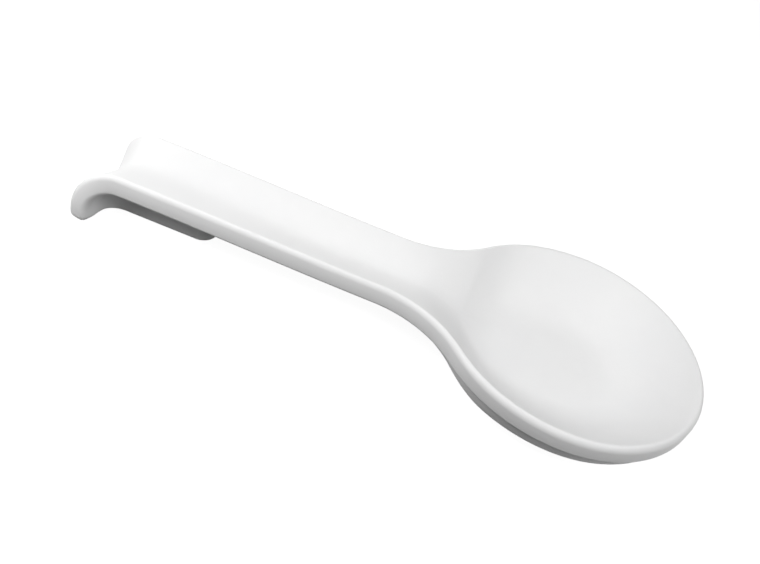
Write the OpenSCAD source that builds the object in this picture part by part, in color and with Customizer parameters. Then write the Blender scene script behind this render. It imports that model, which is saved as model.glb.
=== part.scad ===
// Spoon rest: a round bowl with a long open channel for a handle, moulded in one piece.
// The channel rolls over into a turned-down lip at its far end. The piece stands on the
// flat foot of the bowl and on a short rib under the handle.

/* [Bowl] */
// Radius of the bowl's nose, measured over the rim
nose_radius = 51.5; // [42:0.5:60]
// Radius of the bowl's flanks, from the widest place towards the neck
flank_radius = 57; // [54:0.5:76]
// Height of the bowl's rim above the counter
bowl_height = 22.5; // [18:0.5:28]
// Thickness of the bowl's floor above the counter
bowl_floor = 4.5; // [3.5:0.5:6]
// Width of the ring over which the bowl's wall slopes down to the floor
bowl_wall_run = 30; // [24:1:34]
// Share of that ring over which the slope bends out of the level floor
bowl_bend_share = 0.5; // [0.3:0.05:0.8]
// Width of the ring over which the bowl's underside curves in to its foot
bowl_tuck_run = 27; // [18:1:30]
// Depth of the round recess in the bowl's foot
recess_depth = 0.8; // [0.5:0.1:1.2]
// Radius of the round recess in the bowl's foot
recess_radius = 21; // [14:1:24]

/* [Handle] */
// Width of the handle over its two rims
handle_width = 37; // [32:1:42]
// Radius of the hollow curve where the handle meets the bowl
neck_radius = 45.5; // [30:0.5:55]
// Distance from the bowl's centre to the outer face of the lip
handle_reach = 198.5; // [170:0.5:220]
// Height of the rim at the end of the handle
handle_height = 24; // [23:0.5:28]
// Depth of the channel below the rim at the neck
channel_depth = 5.8; // [4.6:0.2:7]
// Depth of the channel where the handle meets the lip, grown shallower all the way
end_depth = 3.2; // [2:0.2:4]
// Share of the channel's half width over which its sides bend out of its middle
channel_bend_share = 0.3; // [0.2:0.05:0.6]
// Thickness of the channel's floor
channel_floor = 4.2; // [3:0.2:5]

/* [Rim] */
// Height of the outer band below the top of the rim
band_height = 7.8; // [6:0.2:9]
// Rounding of the rim on its outer side
rim_outer_round = 2.8; // [2.2:0.2:3.4]
// Tighter rounding over the crest of the rim
rim_crest_round = 1.2; // [0.8:0.1:1.8]
// Rounding of the band's lower edge
band_edge_round = 1.4; // [0.8:0.2:2]

/* [Lip] */
// Radius at which the rim rolls over into the lip
lip_radius = 18.8; // [16:0.4:20]
// Gap between the lip and the counter
lip_gap = 0.4; // [0.3:0.1:1]
// Rounding of the lip's lower edge
lip_edge_round = 2.4; // [1:0.2:3.4]
// Rounding of the band's inner edge on the lip, where it has grown fuller
lip_band_round = 2.8; // [1.4:0.2:3.6]
// How far each side of the lip spreads past the handle
lip_flare = 3.6; // [0:0.2:5]
// Depth of the channel at the lower edge of the lip
lip_depth = 5; // [2:0.2:6]

/* [Rib under the handle] */
// Width of the rib
rib_width = 12.6; // [8:0.2:18]
// Distance from the bowl's centre to the near end of the rib
rib_near = 146; // [130:0.5:160]
// Radius of the hollow corners where the rib meets the lip
rib_blend = 7; // [3:0.5:9]

/* [Neck] */
// Distance from the bowl's centre at which its floor starts to climb to the channel
climb_start = 26; // [16:1:32]
// Length along the handle over which the floor climbs
climb_length = 38; // [28:1:48]

/* [Hidden] */
$fn = 96;

// Steps of each stretch of the outline, from the nose round to the lip
nose_steps = 13;
flank_steps = 9;
neck_steps = 9;
handle_steps = 8;
lip_steps = 9;
// Steps across the section, from the axis out over the rim and back
inner_steps = 10;
crest_steps = 2;
round_steps = 3;
edge_steps = 3;
under_steps = 8;
// Power of the curve of the underside
under_power = 1.9;
// How tightly the rows of the underside crowd towards the rim
crowd_power = 1.3;
// Share of the wall's half thickness that the rounding of the lip's lower edge may take
edge_share = 0.9;
// Turn of the lip over which the channel's depth changes
depth_turn = 50;
// Angle at which the rim's outer rounding passes into its crest
crest_turn = 50;
// Share of a narrow section that its curved rows take, short of the axis
curve_share = 0.94;
// How far the hollow corners start inside the lip's wall
blend_sink = 0.4;
// One overrun for every cut
overrun = 1;

// Plan of the outer face: the bowl's centre is the zero point and +X points at the nose
half_width = handle_width / 2;
flank_centre_y = nose_radius - flank_radius;
neck_rise = half_width + neck_radius - flank_centre_y;
neck_x = sqrt(pow(flank_radius + neck_radius, 2) - pow(neck_rise, 2));
flank_end = atan2(neck_rise, -neck_x);
lip_x = handle_reach - lip_radius;
crest_in = rim_outer_round - (rim_outer_round - rim_crest_round) * cos(crest_turn);
crest_rise = rim_crest_round + (rim_outer_round - rim_crest_round) * sin(crest_turn);
lip_axis_z = handle_height - lip_radius;
lip_drop = lip_axis_z - lip_gap;

function mix(a, b, t) = a + (b - a) * t;
function clamp01(t) = min(1, max(0, t));
function smooth(t) = let (c = clamp01(t)) c * c * (3 - 2 * c);
// Falls from 1 to 0 while s goes from 0 to 1, steep at first and level at the end
function dish(s, power) = let (c = clamp01(s)) 1 - pow(1 - pow(1 - c, power), 1 / power);

// Rises from 0 to 1 with s, level at first and then bending into a straight slope
function bend(s, share) = let (u = clamp01(s), end = sqrt(1 + share * share) - share)
    (sqrt(u * u + share * share) - share) / end;
function bend_slope(share) = let (long = sqrt(1 + share * share)) 1 / (long * (long - share));

// Heights along the axis, with x counted from the bowl's centre
function along(x) = smooth((-x - neck_x) / (lip_x - neck_x));
function climb(x) = smooth((-x - climb_start) / climb_length);
function rim_z(x) = mix(bowl_height, handle_height, along(x));
function depth(x, turn) = mix(mix(channel_depth, end_depth, along(x)), lip_depth, smooth(turn / depth_turn));
function floor_z(x, turn) = mix(bowl_floor, rim_z(x) - depth(x, turn), climb(x));
function under_z(x, turn) = mix(-recess_depth, rim_z(x) - depth(x, turn) - channel_floor, climb(x));

// A station of the outline is [point, outward direction, turn, drop, tuck]. Only the lip
// turns, drops and draws in
function arc_station(centre, radius, a, side) =
    [centre + radius * [cos(a), sin(a)], side * [cos(a), sin(a)], 0, 0, 0];
function handle_station(x) = [[x, half_width], [0, 1], 0, 0, 0];
function lip_station(turn, drop, tuck) = [[-lip_x, half_width], [0, 1], turn, drop, tuck];

stations = concat(
    [for (i = [0 : nose_steps])
        arc_station([0, 0], nose_radius, 90 * i / nose_steps, 1)],
    [for (i = [1 : flank_steps])
        arc_station([0, flank_centre_y], flank_radius, mix(90, flank_end, i / flank_steps), 1)],
    [for (i = [1 : neck_steps])
        arc_station([-neck_x, half_width + neck_radius], neck_radius,
            mix(flank_end - 180, -90, i / neck_steps), -1)],
    [for (i = [1 : handle_steps]) handle_station(-mix(neck_x, lip_x, i / handle_steps))],
    [for (i = [1 : lip_steps]) lip_station(90 * i / lip_steps, 0, 0)],
    [for (i = [0 : edge_steps]) let (a = 90 * i / edge_steps)
        lip_station(90, lip_drop - lip_edge_round * (1 - sin(a)), 1 - cos(a))]
);
last = len(stations) - 1;

// How far round the lip a station lies: 0 where it starts, 1 at its lower edge
function roll(turn, drop) = smooth((turn / 90 + drop / lip_drop) / 2);

// Half a section at a station, as [x, y, z] from the axis out over the rim and back under it
function section(st) = let (
    p = st[0],
    n = st[1],
    hub = [min(p.x, 0), 0],
    top = rim_z(p.x),
    bend_share = mix(bowl_bend_share, channel_bend_share, climb(hub.x)),
    z_floor = floor_z(hub.x, st[2]),
    z_under = under_z(hub.x, st[2]),
    z_band = top - band_height,
    crest = p - n * crest_in,
    tilt = atan((top - z_floor) * bend_slope(bend_share) / min(bowl_wall_run, norm(crest - hub))),
    q = crest - n * rim_crest_round * sin(tilt),
    z_in = top - rim_crest_round * (1 - cos(tilt)),
    edge = mix(band_edge_round, lip_band_round, smooth(st[2] / 90)),
    e = p - n * edge,
    reach_in = norm(q - hub),
    reach_under = norm(e - hub),
    run_in = min(bowl_wall_run, reach_in),
    run_under = min(bowl_tuck_run, reach_under),
    rows_in = min(bowl_wall_run, reach_in * curve_share),
    rows_under = min(bowl_tuck_run, reach_under * curve_share)
) concat(
    [[hub.x, hub.y, z_floor]],
    [for (i = [inner_steps : -1 : 1]) let (
        d = rows_in * i / inner_steps,
        xy = mix(q, hub, d / reach_in))
        [xy.x, xy.y, mix(z_floor, z_in, bend(1 - d / run_in, bend_share))]],
    [for (i = [-crest_steps : crest_steps]) let (
        a = 90 + (i < 0 ? tilt : crest_turn - 90) * abs(i) / crest_steps,
        xy = crest + n * rim_crest_round * cos(a))
        [xy.x, xy.y, top - rim_crest_round * (1 - sin(a))]],
    [for (i = [1 : round_steps]) let (
        a = crest_turn * (1 - i / round_steps),
        xy = p - n * rim_outer_round * (1 - cos(a)))
        [xy.x, xy.y, top - crest_rise + rim_outer_round * sin(a)]],
    [for (i = [0 : edge_steps]) let (
        a = 90 * i / edge_steps,
        xy = p - n * edge * (1 - cos(a)))
        [xy.x, xy.y, z_band + edge * (1 - sin(a))]],
    [for (i = [1 : under_steps]) let (
        d = rows_under * pow(i / under_steps, crowd_power),
        xy = mix(e, hub, d / reach_under))
        [xy.x, xy.y, mix(z_under, z_band, dish(d / run_under, under_power))]],
    [[hub.x, hub.y, z_under]]
);

// Rolls a point over about the lip's axis, spreads it sideways and drops it
function rolled(pt, turn, drop) = let (
    r = pt.z - lip_axis_z,
    spread = 1 + lip_flare / half_width * roll(turn, drop)
) [pt.x - r * sin(turn), pt.y * spread, lip_axis_z + r * cos(turn) - drop];

// Draws a section's points in towards the middle of its wall
function tucked(points, tuck) = let (n = len(points), tip = inner_steps - 1)
    [for (j = [0 : n - 1]) let (
        k = min(j, n - 1 - j, tip),
        way = (points[k] + points[n - 1 - k]) / 2 - points[j],
        half_wall = norm(way))
        points[j] + way * tuck * min(lip_edge_round / half_wall, edge_share)];

function ring(st) = tucked([for (pt = section(st)) rolled(pt, st[2], st[3])], st[4]);
function mirrored(points) = [for (p = points) [p.x, -p.y, p.z]];

// All rings, from the lip's near corner round the nose to its far corner
half_rings = [for (st = stations) ring(st)];
rings = concat([for (i = [last : -1 : 1]) mirrored(half_rings[i])], half_rings);
rows = len(rings[0]);
count = len(rings);

function corner(i, j) = i * rows + j;
skin_faces = [for (i = [0 : count - 2], j = [0 : rows - 2], half = [0, 1])
    half == 0
    ? [corner(i, j), corner(i + 1, j), corner(i + 1, j + 1)]
    : [corner(i, j), corner(i + 1, j + 1), corner(i, j + 1)]];

// The lip's lower edge is closed by strips across its wall, one for each half
fold = floor((rows - 1) / 2);
function edge_strip(i, flip) = [for (j = [0 : fold - 1]) let (
    quad = [corner(i, j), corner(i, j + 1), corner(i, rows - 2 - j), corner(i, rows - 1 - j)])
    flip ? [quad[3], quad[2], quad[1], quad[0]] : quad];
edge_faces = concat(edge_strip(0, false), edge_strip(count - 1, true));

module shell() {
    polyhedron(points = [for (r = rings) each r], faces = concat(skin_faces, edge_faces), convexity = 6);
}

// Rib under the handle: upright sides and a round near end
rib_half = rib_width / 2;
rib_near_x = -rib_near - rib_half;
function wall_z(x) = rim_z(x) - depth(x, 0) - channel_floor / 2;
rib_top = (wall_z(rib_near_x) + wall_z(-lip_x)) / 2;
module rib() {
    translate([rib_near_x, 0, -overrun]) cylinder(r = rib_half, h = rib_top + overrun);
    translate([-lip_x, -rib_half, -overrun]) cube([lip_x + rib_near_x, rib_width, rib_top + overrun]);
    intersection() {
        rib_root();
        lip_core();
    }
}

// Far end of the rib, which meets the lip's wall in two hollow corners
lip_wall_x = -lip_x - lip_radius + lip_depth + channel_floor / 2;
blend_x = lip_wall_x + channel_floor / 2 - blend_sink + rib_blend;
blend_half = rib_half + rib_blend;
module rib_root() {
    translate([lip_wall_x, -rib_half, -overrun])
        cube([-lip_x - lip_wall_x, rib_width, rib_top + overrun]);
    difference() {
        translate([lip_wall_x, -blend_half, -overrun])
            cube([blend_x - lip_wall_x, 2 * blend_half, rib_top + overrun]);
        for (side = [-1, 1]) translate([blend_x, side * blend_half, -2 * overrun])
            cylinder(r = rib_blend, h = rib_top + 4 * overrun);
    }
}

// Space under the lip's roll, up to the middle of its wall, that the rib's far end fills
lip_core_radius = rib_top - lip_axis_z;
module lip_core() {
    translate([-lip_x, blend_half + overrun, lip_axis_z]) rotate([90, 0, 0])
        cylinder(r = lip_core_radius, h = 2 * (blend_half + overrun));
    translate([lip_wall_x - overrun, -blend_half - overrun, -2 * overrun])
        cube([-lip_x - lip_wall_x + overrun, 2 * (blend_half + overrun), lip_axis_z + 2 * overrun]);
}

// Room below the counter, cut away so that the feet are flat
cut_reach = handle_reach + nose_radius + overrun;
module below() {
    translate([-cut_reach, -cut_reach, -cut_reach]) cube([2 * cut_reach, 2 * cut_reach, cut_reach]);
}

// The part's frame has its origin under the middle of the whole piece
middle_x = (nose_radius - handle_reach) / 2;
module rest_body() {
    color("whitesmoke") translate([-middle_x, 0, 0]) difference() {
        union() {
            shell();
            rib();
        }
        below();
        translate([0, 0, -overrun]) cylinder(r = recess_radius, h = recess_depth + overrun);
    }
}

rest_body();
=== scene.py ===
import math

import bmesh
import bpy
from mathutils import Matrix, Vector


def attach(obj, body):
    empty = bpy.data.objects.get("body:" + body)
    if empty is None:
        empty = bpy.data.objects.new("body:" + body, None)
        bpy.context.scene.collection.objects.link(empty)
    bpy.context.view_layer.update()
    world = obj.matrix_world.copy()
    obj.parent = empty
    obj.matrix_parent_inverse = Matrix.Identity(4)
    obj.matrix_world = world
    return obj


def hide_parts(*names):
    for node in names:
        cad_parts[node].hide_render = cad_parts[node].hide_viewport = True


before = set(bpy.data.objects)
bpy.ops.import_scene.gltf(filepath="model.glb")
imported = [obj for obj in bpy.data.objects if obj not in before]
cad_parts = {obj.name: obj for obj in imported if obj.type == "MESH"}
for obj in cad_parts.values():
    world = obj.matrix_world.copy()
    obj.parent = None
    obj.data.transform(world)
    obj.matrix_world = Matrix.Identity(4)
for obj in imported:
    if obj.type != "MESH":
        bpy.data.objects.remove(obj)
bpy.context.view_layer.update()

# Shell of the spoon rest
# The real piece is one moulding of white plastic with a smooth satin skin. Its bowl, open
# handle, rim and turned-down lip are one wall, drawn here as sections set along the rim from
# the nose of the bowl to the end of the lip. Sizes are in millimetres from the bowl's centre.
MM = 0.001
NOSE_RADIUS = 51.5
FLANK_RADIUS = 57.0
BOWL_HEIGHT = 22.5
BOWL_FLOOR = 4.5
BOWL_WALL_RUN = 30.0
BOWL_BEND_SHARE = 0.5
BOWL_TUCK_RUN = 27.0
TUCK_FULLNESS = 1.9
HALF_WIDTH = 18.5
NECK_RADIUS = 45.5
HANDLE_REACH = 198.5
HANDLE_HEIGHT = 24.0
CHANNEL_DEPTH = 5.8
END_DEPTH = 3.2
CHANNEL_BEND_SHARE = 0.3
CHANNEL_FLOOR = 4.2
BAND_HEIGHT = 7.8
RIM_OUTER_ROUND = 2.8
RIM_CREST_ROUND = 1.2
CREST_TURN = math.radians(50)
BAND_EDGE_ROUND = 1.4
LIP_RADIUS = 18.8
HANDLE_BAND_LEAN = math.radians(10)
LIP_GAP = 0.4
LIP_EDGE_ROUND = 2.4
LIP_BAND_ROUND = 2.8
LIP_FLARE = 3.6
LIP_DEPTH = 5.0
DEPTH_TURN = math.radians(50)
EDGE_SHARE = 0.97
TIP_CORE = 3.0
CLIMB_START = 26.0
CLIMB_LENGTH = 38.0
RECESS_RADIUS = 21.0
RECESS_DEPTH = 0.8
RECESS_ROUND = 0.3
FOOT_ROUND = 0.4

CREST_IN = RIM_OUTER_ROUND - (RIM_OUTER_ROUND - RIM_CREST_ROUND) * math.cos(CREST_TURN)
CREST_RISE = RIM_CREST_ROUND + (RIM_OUTER_ROUND - RIM_CREST_ROUND) * math.sin(CREST_TURN)
FLANK_CENTRE_Y = NOSE_RADIUS - FLANK_RADIUS
NECK_RISE = HALF_WIDTH + NECK_RADIUS - FLANK_CENTRE_Y
NECK_X = math.sqrt((FLANK_RADIUS + NECK_RADIUS) ** 2 - NECK_RISE ** 2)
FLANK_END = math.atan2(NECK_RISE, -NECK_X)
LIP_X = HANDLE_REACH - LIP_RADIUS
LIP_AXIS_Z = HANDLE_HEIGHT - LIP_RADIUS
LIP_DROP = LIP_AXIS_Z - LIP_GAP
QUARTER = math.pi / 2
MIDDLE_X = (NOSE_RADIUS - HANDLE_REACH) / 2

# How finely the sections are set along the outline, and the rows across each of them
NOSE_STEPS, OVER_RECESS_STEPS, FLANK_STEPS, NECK_STEPS = 44, 12, 14, 22
HANDLE_STEPS, ROLL_STEPS, FALL_STEPS, TIP_STEPS = 34, 28, 6, 7
INNER_CURVED, UNDER_CURVED, FLAT_ROWS = 20, 20, 6
INNER_SPACING, UNDER_SPACING = 1.0, 1.3
CURVED_AT_MOST = 0.9
CREST_ROWS, ROUND_ROWS, EDGE_ROWS = 5, 4, 6
RECESS_ROUND_STEPS, RECESS_FLOOR_STEPS = 3, 7


def mix(a, b, t):
    return a + (b - a) * t


def clamp01(t):
    return min(1.0, max(0.0, t))


def smooth(t):
    c = clamp01(t)
    return c * c * (3 - 2 * c)


# Falls from 1 to 0 while s goes from 0 to 1, steep at first and level at the end
def dish(s, power):
    return 1 - (1 - (1 - clamp01(s)) ** power) ** (1 / power)


# Rises from 0 to 1 with s, level at first and then bending into a straight slope
def bend(s, share):
    u, end = clamp01(s), math.sqrt(1 + share * share) - share
    return (math.sqrt(u * u + share * share) - share) / end


def bend_slope(share):
    long = math.sqrt(1 + share * share)
    return 1 / (long * (long - share))


def steps(first, last, count):
    return [mix(first, last, i / count) for i in range(1, count + 1)]


# Heights along the axis of the piece
def along(x):
    return smooth((-x - NECK_X) / (LIP_X - NECK_X))


def climb(x):
    return smooth((-x - CLIMB_START) / CLIMB_LENGTH)


def rim_z(x):
    return mix(BOWL_HEIGHT, HANDLE_HEIGHT, along(x))


def depth(x, turn):
    return mix(mix(CHANNEL_DEPTH, END_DEPTH, along(x)), LIP_DEPTH, smooth(turn / DEPTH_TURN))


def floor_z(x, turn):
    return mix(BOWL_FLOOR, rim_z(x) - depth(x, turn), climb(x))


def under_z(x, turn):
    return mix(-RECESS_DEPTH, rim_z(x) - depth(x, turn) - CHANNEL_FLOOR, climb(x))


# The underside levels off at the counter in a soft round
def on_counter(z):
    if z > FOOT_ROUND:
        return z
    return max(0.0, z + FOOT_ROUND) ** 2 / (4 * FOOT_ROUND)


# Stations of the outline: point, outward direction, turn, drop and tuck
def arc(centre, radius, angles, side):
    return [
        ((centre[0] + radius * math.cos(a), centre[1] + radius * math.sin(a)),
         (side * math.cos(a), side * math.sin(a)), 0.0, 0.0, 0.0)
        for a in angles
    ]


def lip_station(turn, drop, tuck):
    return ((-LIP_X, HALF_WIDTH), (0.0, 1.0), turn, drop, tuck)


RECESS_EDGE = RECESS_RADIUS + RECESS_ROUND
recess_end = math.acos(-RECESS_EDGE / FLANK_RADIUS)
nose = arc((0, 0), NOSE_RADIUS, [0.0] + steps(0, QUARTER, NOSE_STEPS), 1)
flank_over_recess = arc((0, FLANK_CENTRE_Y), FLANK_RADIUS,
                        steps(QUARTER, recess_end, OVER_RECESS_STEPS), 1)
flank = arc((0, FLANK_CENTRE_Y), FLANK_RADIUS, steps(recess_end, FLANK_END, FLANK_STEPS), 1)
neck = arc((-NECK_X, HALF_WIDTH + NECK_RADIUS), NECK_RADIUS,
           steps(FLANK_END - math.pi, -QUARTER, NECK_STEPS), -1)
handle = [((x, HALF_WIDTH), (0.0, 1.0), 0.0, 0.0, 0.0)
          for x in steps(-NECK_X, -LIP_X, HANDLE_STEPS)]
roll_over = [lip_station(t, 0.0, 0.0) for t in steps(0, QUARTER, ROLL_STEPS)]
EDGE_START = LIP_DROP - LIP_EDGE_ROUND
fall = [lip_station(QUARTER, d, 0.0) for d in steps(0, EDGE_START, FALL_STEPS)]
edge = [
    lip_station(QUARTER, EDGE_START + LIP_EDGE_ROUND * math.sin(a), 1 - math.cos(a))
    for a in steps(0, QUARTER, TIP_STEPS)
]
stations = nose + flank_over_recess + flank + neck + handle + roll_over + fall + edge
recess_stations = len(nose) + len(flank_over_recess)


# The lip spreads evenly over its whole way down, measured along its outer face
def spread(turn, drop):
    way = (turn * LIP_RADIUS + drop) / (QUARTER * LIP_RADIUS + LIP_DROP)
    return 1 + LIP_FLARE / HALF_WIDTH * smooth(way)


def bend_share(x):
    return mix(BOWL_BEND_SHARE, CHANNEL_BEND_SHARE, climb(x))


# Slope of the inner face where it leaves the rim's crest
def inner_tilt(x, top, turn, reach):
    rise = (top - floor_z(x, turn)) * bend_slope(bend_share(x))
    return math.atan(rise / min(BOWL_WALL_RUN, reach))


# Heights of the wall's two faces, d inside the crest and d inside the band
def inner_height(x, d, reach, turn, z_in):
    run = min(BOWL_WALL_RUN, reach)
    return mix(floor_z(x, turn), z_in, bend(1 - d / run, bend_share(x)))


def outer_height(x, d, reach, turn, z_band):
    run = min(BOWL_TUCK_RUN, reach)
    return on_counter(mix(under_z(x, turn), z_band, dish(d / run, TUCK_FULLNESS)))


# Distances of the rows across a face: close ones on its curved part, wide ones on the flat
def rows_inward(reach, run, spacing, curved):
    near = min(run, CURVED_AT_MOST * reach)
    return ([near * (i / curved) ** spacing for i in range(1, curved + 1)]
            + steps(near, reach, FLAT_ROWS))


def band_edge_round(turn):
    return mix(BAND_EDGE_ROUND, LIP_BAND_ROUND, smooth(turn / QUARTER))


# Along the handle the band leans in towards the crest, the draft that frees it from the mould
def band_lean(x, turn):
    lean = HANDLE_BAND_LEAN * climb(x)
    face = BAND_HEIGHT - CREST_RISE + RIM_OUTER_ROUND * math.sin(lean) - band_edge_round(turn)
    return lean, math.tan(lean) * face - RIM_OUTER_ROUND * (1 - math.cos(lean))


# One section from the middle of the channel over the rim and round to the middle underneath
def half_section(station):
    (px, py), (nx, ny), turn = station[:3]
    hub = (min(px, 0.0), 0.0)
    top = rim_z(px)
    z_band = top - BAND_HEIGHT
    lean, lean_in = band_lean(px, turn)
    crest = (px - nx * (CREST_IN + lean_in), py - ny * (CREST_IN + lean_in))
    tilt = inner_tilt(hub[0], top, turn, math.dist(crest, hub))
    back = RIM_CREST_ROUND * math.sin(tilt)
    q = (crest[0] - nx * back, crest[1] - ny * back)
    edge_round = band_edge_round(turn)
    e = (px - nx * edge_round, py - ny * edge_round)
    z_in = top - RIM_CREST_ROUND * (1 - math.cos(tilt))
    reach_in = math.dist(q, hub)
    reach_under = math.dist(e, hub)
    points = []
    for d in reversed(rows_inward(reach_in, BOWL_WALL_RUN, INNER_SPACING, INNER_CURVED)):
        share = d / reach_in
        points.append((mix(q[0], hub[0], share), mix(q[1], hub[1], share),
                       inner_height(hub[0], d, reach_in, turn, z_in)))
    for a in [tilt] + steps(tilt, 0, CREST_ROWS) + steps(0, CREST_TURN - QUARTER, CREST_ROWS):
        out = -RIM_CREST_ROUND * math.sin(a)
        points.append((crest[0] + nx * out, crest[1] + ny * out,
                       top - RIM_CREST_ROUND * (1 - math.cos(a))))
    for a in steps(CREST_TURN, lean, ROUND_ROWS):
        back = lean_in + RIM_OUTER_ROUND * (1 - math.cos(a))
        points.append((px - nx * back, py - ny * back,
                       top - CREST_RISE + RIM_OUTER_ROUND * math.sin(a)))
    for i in range(EDGE_ROWS + 1):
        a = QUARTER * i / EDGE_ROWS
        back = edge_round * (1 - math.cos(a))
        points.append((px - nx * back, py - ny * back, z_band + edge_round * (1 - math.sin(a))))
    end = hub
    if px > 0:
        end = (nx * RECESS_EDGE, ny * RECESS_EDGE)
    elif px > -RECESS_EDGE:
        end = (px, math.sqrt(RECESS_EDGE ** 2 - px ** 2))
    reach_end = math.dist(e, end)
    for d in rows_inward(reach_end, BOWL_TUCK_RUN, UNDER_SPACING, UNDER_CURVED):
        share = d / reach_end
        points.append((mix(e[0], end[0], share), mix(e[1], end[1], share),
                       outer_height(hub[0], d, reach_under, turn, z_band)))
    return [rolled(p, station) for p in points]


# Rolls a point over about the lip's axis, then rounds the lip's lower edge
def rolled(point, station):
    turn, drop, tuck = station[2:]

    def turned(y, z):
        r = z - LIP_AXIS_Z
        return Vector((point[0] - r * math.sin(turn), y * spread(turn, drop),
                       LIP_AXIS_Z + r * math.cos(turn) - drop))
    place = turned(point[1], point[2])
    if tuck > 0:
        y = min(point[1], HALF_WIDTH - TIP_CORE)
        top = rim_z(-LIP_X)
        crest_y = HALF_WIDTH - CREST_IN - band_lean(-LIP_X, turn)[1]
        tilt = inner_tilt(-LIP_X, top, turn, crest_y)
        inner_reach = crest_y - RIM_CREST_ROUND * math.sin(tilt)
        outer_reach = HALF_WIDTH - band_edge_round(turn)
        z_in = top - RIM_CREST_ROUND * (1 - math.cos(tilt))
        middle = (inner_height(-LIP_X, max(0.0, inner_reach - y), inner_reach, turn, z_in)
                  + outer_height(-LIP_X, max(0.0, outer_reach - y), outer_reach, turn,
                                 top - BAND_HEIGHT)) / 2
        way = turned(y, middle) - place
        place = place + way * tuck * min(LIP_EDGE_ROUND / way.length, EDGE_SHARE)
    return place


# The foot's shallow round recess
def recess_rows(end):
    n = Vector((end.x, end.y, 0)).normalized()
    points = []
    for a in steps(0, QUARTER, RECESS_ROUND_STEPS):
        points.append(n * (RECESS_RADIUS + RECESS_ROUND * (1 - math.sin(a)))
                      + Vector((0, 0, RECESS_ROUND * (1 - math.cos(a)))))
    for a in [0.0] + steps(0, QUARTER, RECESS_ROUND_STEPS):
        points.append(n * (RECESS_RADIUS - RECESS_ROUND * (1 - math.cos(a)))
                      + Vector((0, 0, RECESS_DEPTH - RECESS_ROUND + RECESS_ROUND * math.sin(a))))
    for r in steps(RECESS_RADIUS - RECESS_ROUND, 0, RECESS_FLOOR_STEPS):
        points.append(n * r + Vector((0, 0, RECESS_DEPTH)))
    return points


# Places a millimetre point of the piece in the shared frame, in metres
def placed(p, side):
    return Vector((p[0] - MIDDLE_X, p[1] * side, p[2])) * MM


# Two mirrored halves of a surface, closed by strips, as one object. Points that meet are welded
# and slivers taken out, both in metres.
WELD_DISTANCE = 1e-7
SLIVER_LENGTH = 1e-8


def skin(name, rings, closing):
    grid = bmesh.new()
    halves = [[[grid.verts.new(placed(p, side)) for p in ring] for ring in rings]
              for side in (1, -1)]
    for side, made in zip((1, -1), halves):
        for near, far in zip(made, made[1:]):
            for j in range(min(len(near), len(far)) - 1):
                quad = (near[j], far[j], far[j + 1], near[j + 1])
                grid.faces.new(quad if side > 0 else quad[::-1])
    for quad in closing(*halves):
        grid.faces.new(quad)
    bmesh.ops.remove_doubles(grid, verts=grid.verts, dist=WELD_DISTANCE)
    bmesh.ops.dissolve_degenerate(grid, edges=grid.edges, dist=SLIVER_LENGTH)
    bmesh.ops.recalc_face_normals(grid, faces=grid.faces)
    mesh = bpy.data.meshes.new(name)
    grid.to_mesh(mesh)
    grid.free()
    piece = bpy.data.objects.new(name, mesh)
    bpy.context.collection.objects.link(piece)
    return piece


# The lip's lower edge, closed across its wall
def lip_edge(*halves):
    quads = []
    for half in halves:
        last = half[-1]
        for j in range(len(last) // 2 - 1):
            k = len(last) - 1 - j
            quads.append((last[j], last[k], last[k - 1], last[j + 1]))
    return quads


rings = [half_section(s) for s in stations]
for ring in rings[:recess_stations]:
    ring += recess_rows(ring[-1])
moulding = skin("spoon_rest_moulding", rings, lip_edge)

# Rib under the handle
# The second foot, moulded with the rest: a straight rib with a round near end. It runs out
# into the handle's underside in a small fillet and meets the lip in two hollow corners.
RIB_HALF = 6.3
RIB_NEAR = 146.0
RIB_BLEND = 7.0
RIB_FOOT_ROUND = 0.8
RIB_FILLET = 1.2
RIB_SINK = 0.6
RIB_BITE = 0.04
RIB_CORE = 1.4
RIB_LAST_FILLET = 0.15
RIB_CORNER_LIFT = 1.0
RIB_FOOT_STEPS, RIB_SIDE_STEPS, RIB_FILLET_STEPS = 4, 5, 6
RIB_END_STEPS, RIB_LENGTH_STEPS, RIB_CORNER_STEPS = 14, 26, 16
TURN_HALVINGS = 24
SHARP_EDGE = math.radians(50)
rib_near_x = -RIB_NEAR - RIB_HALF
lip_face_x = -LIP_X - LIP_RADIUS + LIP_DEPTH + CHANNEL_FLOOR
blend_x = lip_face_x - RIB_SINK + RIB_BLEND
blend_y = RIB_HALF + RIB_BLEND


# Height of the moulding's lower face, found on the lip by halving the turn
def underside(x, y):
    if x > -LIP_X:
        reach = HALF_WIDTH - BAND_EDGE_ROUND
        return outer_height(x, reach - abs(y), reach, 0.0, rim_z(x) - BAND_HEIGHT)
    low, high = 0.0, QUARTER
    for _ in range(TURN_HALVINGS):
        turn = (low + high) / 2
        reach = HALF_WIDTH - band_edge_round(turn)
        d = reach - abs(y) / spread(turn, 0.0)
        r = outer_height(-LIP_X, d, reach, turn, rim_z(-LIP_X) - BAND_HEIGHT) - LIP_AXIS_Z
        if r * math.sin(turn) < -LIP_X - x:
            low = turn
        else:
            high = turn
    return LIP_AXIS_Z + r * math.cos(turn)


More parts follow.
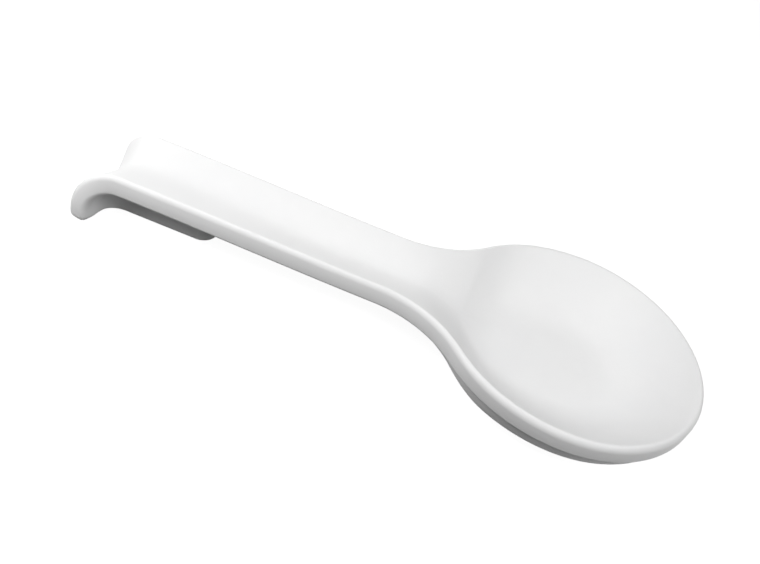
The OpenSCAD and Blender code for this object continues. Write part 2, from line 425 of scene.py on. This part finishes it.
# One line of the rib's side, from its foot up to the fillet and on into the moulding
def rib_rows(point, normal, fillet, lift):
    def at(out, z):
        return Vector((point[0] + normal[0] * out, point[1] + normal[1] * out, z))

    def roof(out):
        p = at(out, 0)
        return underside(p.x, p.y)
    rows = [at(-RIB_FOOT_ROUND * (1 - math.sin(a)), lift + RIB_FOOT_ROUND * (1 - math.cos(a)))
            for a in [0.0] + steps(0, QUARTER, RIB_FOOT_STEPS)]
    rows += [at(0, z)
             for z in steps(lift + RIB_FOOT_ROUND, roof(0) - fillet, RIB_SIDE_STEPS)]
    for a in steps(0, QUARTER, RIB_FILLET_STEPS):
        out = fillet * (1 - math.cos(a))
        rows.append(at(out, roof(out) - fillet * (1 - math.sin(a))))
    rows.append(at(fillet + RIB_BITE, roof(fillet) + RIB_BITE))
    rows.append(at(0, roof(fillet) + RIB_CORE))
    return rows


rib_line = [((rib_near_x + RIB_HALF * math.cos(a), RIB_HALF * math.sin(a)),
             (math.cos(a), math.sin(a)), RIB_FILLET, 0.0)
            for a in [0.0] + steps(0, QUARTER, RIB_END_STEPS)]
rib_line += [((x, RIB_HALF), (0, 1), RIB_FILLET, 0.0)
             for x in steps(rib_near_x, blend_x, RIB_LENGTH_STEPS)]
rib_line += [((blend_x - RIB_BLEND * math.sin(a), blend_y - RIB_BLEND * math.cos(a)),
              (math.sin(a), math.cos(a)), mix(RIB_FILLET, RIB_LAST_FILLET, smooth(a / QUARTER)),
              RIB_CORNER_LIFT * smooth(a / QUARTER))
             for a in steps(0, QUARTER, RIB_CORNER_STEPS)]
rib_line.append(((lip_face_x - RIB_CORE, blend_y), (0, 1), RIB_LAST_FILLET, RIB_CORNER_LIFT))


# The rib's flat foot, its top inside the handle's floor and its end inside the lip's wall
def rib_ends(left, right):
    quads = []
    for row in (0, -1):
        for (a, b), (c, d) in zip(zip(left, left[1:]), zip(right, right[1:])):
            quads.append((a[row], b[row], d[row], c[row]))
    for j in range(len(left[-1]) - 1):
        quads.append((left[-1][j], left[-1][j + 1], right[-1][j + 1], right[-1][j]))
    return quads


rib = skin("rib", [rib_rows(*place) for place in rib_line], rib_ends)

# Shell and rib made one closed skin
joined = moulding.modifiers.new("rib", "BOOLEAN")
joined.operation = "UNION"
joined.solver = "EXACT"
joined.object = rib
whole = bpy.data.meshes.new_from_object(
    moulding.evaluated_get(bpy.context.evaluated_depsgraph_get()))
moulding.modifiers.clear()
moulding.data = whole
whole.name = moulding.name
bpy.data.objects.remove(rib)
whole.shade_smooth()
whole.set_sharp_from_angle(angle=SHARP_EDGE)

# Finish of the moulding
# The mould leaves an even satin skin, a little polished on the rim's crest by wiping and left
# duller underneath, where the feet also pick up faint grey scuffs from the counter.
CREST_REACH = 3.0
FOOT_REACH = 0.35
WHITE = (0.868, 0.868, 0.866, 1.0)
WHITE_IN_DRIFT = (0.842, 0.843, 0.845, 1.0)
SCUFFED_WHITE = (0.640, 0.636, 0.628, 1.0)
SATIN_SPECULAR = 0.3
SATIN_ROUGHNESS = (0.46, 0.54)
POLISH = -0.10
DULLNESS = 0.12
COLOUR_DRIFT_SCALE = 30.0
ROUGHNESS_DRIFT_SCALE = 75.0
SKIN_RIPPLE_SCALE = 420.0
SKIN_GRAIN_SCALE = 1500.0
UNDER_GRAIN_SCALE = 1100.0
SKIN_RELIEF = 0.000022
UNDER_RELIEF = 0.00005
SKIN_DETAIL = 1.0
UNDER_DETAIL = 2.0
DRIFT_DETAIL = 3.0
DRIFT_BREAKUP = 0.55
DRIFT_RANGE = (0.3, 0.7)
SCUFF_RANGE = (-0.6, 0.8)


# Marks how near each point is to the rim's crest, to the underside and to the counter
def crest_nearness(x, z):
    if x > -LIP_X:
        below = rim_z(x) - z
    else:
        below = LIP_RADIUS - math.hypot(x + LIP_X, max(0.0, z - LIP_AXIS_Z))
    return smooth(1 - below / CREST_REACH)


def write_mask(mesh, name, values):
    mask = mesh.attributes.new(name, "FLOAT", "POINT")
    mask.data.foreach_set("value", values)


spots = [(v.co.x / MM + MIDDLE_X, v.co.z / MM) for v in whole.vertices]
write_mask(whole, "rim_crest", [crest_nearness(x, z) for x, z in spots])
write_mask(whole, "underside", [smooth(-v.normal.z) for v in whole.vertices])
write_mask(whole, "feet", [smooth(1 - z / FOOT_REACH) for x, z in spots])


def add_node(tree, kind, **settings):
    made = tree.nodes.new(kind)
    for key, value in settings.items():
        setattr(made, key, value)
    return made


def feed(tree, socket, source):
    if isinstance(source, bpy.types.NodeSocket):
        tree.links.new(source, socket)
    else:
        socket.default_value = source


def number(tree, operation, a, b):
    made = add_node(tree, "ShaderNodeMath", operation=operation)
    feed(tree, made.inputs[0], a)
    feed(tree, made.inputs[1], b)
    return made.outputs[0]


# A Mix node has its colour sockets after those for numbers and vectors
COLOUR_A, COLOUR_B, COLOUR_RESULT = 6, 7, 2


def blend_colours(tree, share, a, b):
    made = add_node(tree, "ShaderNodeMix", data_type="RGBA")
    feed(tree, made.inputs["Factor"], share)
    feed(tree, made.inputs[COLOUR_A], a)
    feed(tree, made.inputs[COLOUR_B], b)
    return made.outputs[COLOUR_RESULT]


def new_group(name, inputs, output):
    group = bpy.data.node_groups.new(name, "ShaderNodeTree")
    for label, kind in inputs:
        group.interface.new_socket(label, in_out="INPUT", socket_type=kind)
    group.interface.new_socket(output, in_out="OUTPUT", socket_type="NodeSocketFloat")
    return group, group.nodes.new("NodeGroupInput"), group.nodes.new("NodeGroupOutput")


def place_group(tree, group, **values):
    made = add_node(tree, "ShaderNodeGroup", node_tree=group)
    for label, value in values.items():
        feed(tree, made.inputs[label], value)
    return made.outputs[0]


# A slow drift between a low and a high value, as a cooling moulding shows
drift, given, result = new_group(
    "skin_drift", [("Position", "NodeSocketVector"), ("Scale", "NodeSocketFloat"),
                   ("Low", "NodeSocketFloat"), ("High", "NodeSocketFloat")], "Value")
cloud = add_node(drift, "ShaderNodeTexNoise")
cloud.inputs["Detail"].default_value = DRIFT_DETAIL
cloud.inputs["Roughness"].default_value = DRIFT_BREAKUP
drift.links.new(given.outputs["Position"], cloud.inputs["Vector"])
drift.links.new(given.outputs["Scale"], cloud.inputs["Scale"])
spread_out = add_node(drift, "ShaderNodeMapRange")
spread_out.inputs["From Min"].default_value = DRIFT_RANGE[0]
spread_out.inputs["From Max"].default_value = DRIFT_RANGE[1]
drift.links.new(cloud.outputs["Fac"], spread_out.inputs["Value"])
drift.links.new(given.outputs["Low"], spread_out.inputs["To Min"])
drift.links.new(given.outputs["High"], spread_out.inputs["To Max"])
drift.links.new(spread_out.outputs["Result"], result.inputs["Value"])

# The mould's fine grain, as a height between 0 and 1
grain, given, result = new_group(
    "mould_grain", [("Position", "NodeSocketVector"), ("Scale", "NodeSocketFloat"),
                    ("Detail", "NodeSocketFloat")], "Height")
pits = add_node(grain, "ShaderNodeTexNoise")
grain.links.new(given.outputs["Position"], pits.inputs["Vector"])
grain.links.new(given.outputs["Scale"], pits.inputs["Scale"])
grain.links.new(given.outputs["Detail"], pits.inputs["Detail"])
grain.links.new(pits.outputs["Fac"], result.inputs["Height"])

satin = bpy.data.materials.new("white_satin_moulding")
satin.use_nodes = True
tree = satin.node_tree
skin_shader = tree.nodes["Principled BSDF"]
skin_shader.inputs["Specular IOR Level"].default_value = SATIN_SPECULAR
position = add_node(tree, "ShaderNodeTexCoord").outputs["Object"]
crest_mask, under_mask, feet_mask = (
    add_node(tree, "ShaderNodeAttribute", attribute_name=name).outputs["Fac"]
    for name in ("rim_crest", "underside", "feet"))

colour_drift = place_group(tree, drift, Position=position, Scale=COLOUR_DRIFT_SCALE,
                           Low=0.0, High=1.0)
body_colour = blend_colours(tree, colour_drift, WHITE, WHITE_IN_DRIFT)
scuffs = place_group(tree, drift, Position=position, Scale=UNDER_GRAIN_SCALE,
                     Low=SCUFF_RANGE[0], High=SCUFF_RANGE[1])
scuffs = number(tree, "MAXIMUM", number(tree, "MULTIPLY", scuffs, feet_mask), 0.0)
feed(tree, skin_shader.inputs["Base Color"],
     blend_colours(tree, scuffs, body_colour, SCUFFED_WHITE))

roughness = place_group(tree, drift, Position=position, Scale=ROUGHNESS_DRIFT_SCALE,
                        Low=SATIN_ROUGHNESS[0], High=SATIN_ROUGHNESS[1])
roughness = number(tree, "ADD", roughness, number(tree, "MULTIPLY", crest_mask, POLISH))
roughness = number(tree, "ADD", roughness, number(tree, "MULTIPLY", under_mask, DULLNESS))
feed(tree, skin_shader.inputs["Roughness"], roughness)

ripple = place_group(tree, grain, Position=position, Scale=SKIN_RIPPLE_SCALE,
                     Detail=SKIN_DETAIL)
fine = place_group(tree, grain, Position=position, Scale=SKIN_GRAIN_SCALE,
                   Detail=SKIN_DETAIL)
dull = place_group(tree, grain, Position=position, Scale=UNDER_GRAIN_SCALE,
                   Detail=UNDER_DETAIL)
height = number(tree, "MULTIPLY", number(tree, "ADD", ripple, fine), SKIN_RELIEF)
under_height = number(tree, "MULTIPLY", number(tree, "MULTIPLY", dull, under_mask), UNDER_RELIEF)
relief = add_node(tree, "ShaderNodeBump")
relief.inputs["Distance"].default_value = 1.0
feed(tree, relief.inputs["Height"], number(tree, "ADD", height, under_height))
feed(tree, skin_shader.inputs["Normal"], relief.outputs["Normal"])

whole.materials.clear()
whole.materials.append(satin)
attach(moulding, "root")
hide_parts("rest_body")

# Counter
# A plain pale counter that the rest stands on. It is seen as white and keeps a soft shadow,
# and it gives the piece's dark underside only a little light back.
COUNTER_REACH = 3.0
COUNTER_BOUNCE = 0.04
COUNTER_SEEN = 0.25
COUNTER_GLOW = 0.93
counter_mesh = bpy.data.meshes.new("counter")
counter_mesh.from_pydata(
    [(x * COUNTER_REACH, y * COUNTER_REACH, 0) for x, y in ((-1, -1), (1, -1), (1, 1), (-1, 1))],
    [], [(0, 1, 2, 3)])
counter = bpy.data.objects.new("counter", counter_mesh)
bpy.context.collection.objects.link(counter)


# 1 where the camera, a reflection or a clear piece looks straight at the surroundings
def looked_at(tree):
    path = add_node(tree, "ShaderNodeLightPath")
    straight = number(tree, "MAXIMUM", path.outputs["Is Camera Ray"],
                      path.outputs["Is Glossy Ray"])
    return number(tree, "MAXIMUM", straight, path.outputs["Is Transmission Ray"])


pale = bpy.data.materials.new("pale_counter")
pale.use_nodes = True
tree = pale.node_tree
tree.nodes.clear()
seen = looked_at(tree)
matt = add_node(tree, "ShaderNodeBsdfDiffuse")
feed(tree, matt.inputs["Color"], blend_colours(
    tree, seen, [COUNTER_BOUNCE] * 3 + [1.0], [COUNTER_SEEN] * 3 + [1.0]))
glow = add_node(tree, "ShaderNodeEmission")
feed(tree, glow.inputs["Strength"], number(tree, "MULTIPLY", seen, COUNTER_GLOW))
both = add_node(tree, "ShaderNodeAddShader")
feed(tree, both.inputs[0], matt.outputs["BSDF"])
feed(tree, both.inputs[1], glow.outputs["Emission"])
feed(tree, add_node(tree, "ShaderNodeOutputMaterial").inputs["Surface"], both.outputs["Shader"])
counter_mesh.materials.append(pale)

# Studio light
# White surroundings, a large soft box high on the right, small ones close over the lip and the
# handle, and weak ones that fill from behind, from past the lip and low from the right.
studio = bpy.data.worlds.new("studio")
bpy.context.scene.world = studio
studio.use_nodes = True
tree = studio.node_tree
feed(tree, tree.nodes["Background"].inputs["Strength"], looked_at(tree))
tree.nodes["Background"].inputs["Color"].default_value = (1.0, 1.0, 1.0, 1.0)


LAMPS_AIM = Vector((0.0, 0.0, 0.01))


# A square lamp with its place and side in metres, aimed at the middle of the rest
def soft_box(name, place, side, watts):
    lamp = bpy.data.lights.new(name, "AREA")
    lamp.shape = "SQUARE"
    lamp.size = side
    lamp.energy = watts
    holder = bpy.data.objects.new(name, lamp)
    bpy.context.collection.objects.link(holder)
    holder.location = place
    aim = LAMPS_AIM - Vector(place)
    holder.rotation_euler = aim.to_track_quat("-Z", "Y").to_euler()


soft_box("box_high_right", (0.45, -0.30, 0.55), 0.40, 2.58)
soft_box("box_low_right", (0.62, -0.62, 0.23), 0.35, 0.50)
soft_box("box_behind", (0.00, 0.69, 0.41), 0.50, 0.97)
soft_box("box_past_lip", (-0.45, 0.10, 0.30), 0.40, 0.74)
soft_box("box_by_lip", (-0.30, -0.12, 0.22), 0.25, 0.44)
soft_box("box_over_lip", (-0.20, -0.15, 0.32), 0.25, 0.35)
soft_box("box_over_handle", (-0.08, -0.20, 0.40), 0.25, 0.40)

# Camera
# A view from the front and above, turned so that the lip is at the upper left. Its values were
# fitted to the outline in the photograph.
CAMERA_TURN = math.radians(3.795)
CAMERA_TILT = math.radians(40.607)
CAMERA_ROLL = math.radians(19.370)
CAMERA_DISTANCE = 0.274703
CAMERA_TARGET = Vector((-0.002849, -0.005308, 0.0147))
SENSOR_WIDTH = 36.0
FRAME_WIDTH = 760
FOCAL_PIXELS = 714.39
NEAR_CLIP = 0.01
back = Vector((math.sin(CAMERA_TURN) * math.cos(CAMERA_TILT),
               -math.cos(CAMERA_TURN) * math.cos(CAMERA_TILT), math.sin(CAMERA_TILT)))
level = Vector((math.cos(CAMERA_TURN), math.sin(CAMERA_TURN), 0.0))
upright = back.cross(level)
right = level * math.cos(CAMERA_ROLL) + upright * math.sin(CAMERA_ROLL)
up = upright * math.cos(CAMERA_ROLL) - level * math.sin(CAMERA_ROLL)
lens = bpy.data.cameras.new("camera")
lens.sensor_fit = "HORIZONTAL"
lens.sensor_width = SENSOR_WIDTH
lens.lens = SENSOR_WIDTH * FOCAL_PIXELS / FRAME_WIDTH
lens.clip_start = NEAR_CLIP
camera = bpy.data.objects.new("camera", lens)
bpy.context.collection.objects.link(camera)
camera.matrix_world = (Matrix.Translation(CAMERA_TARGET + back * CAMERA_DISTANCE)
                       @ Matrix((right, up, back)).transposed().to_4x4())
bpy.context.scene.camera = camera
bpy.context.scene.view_settings.view_transform = "Standard"
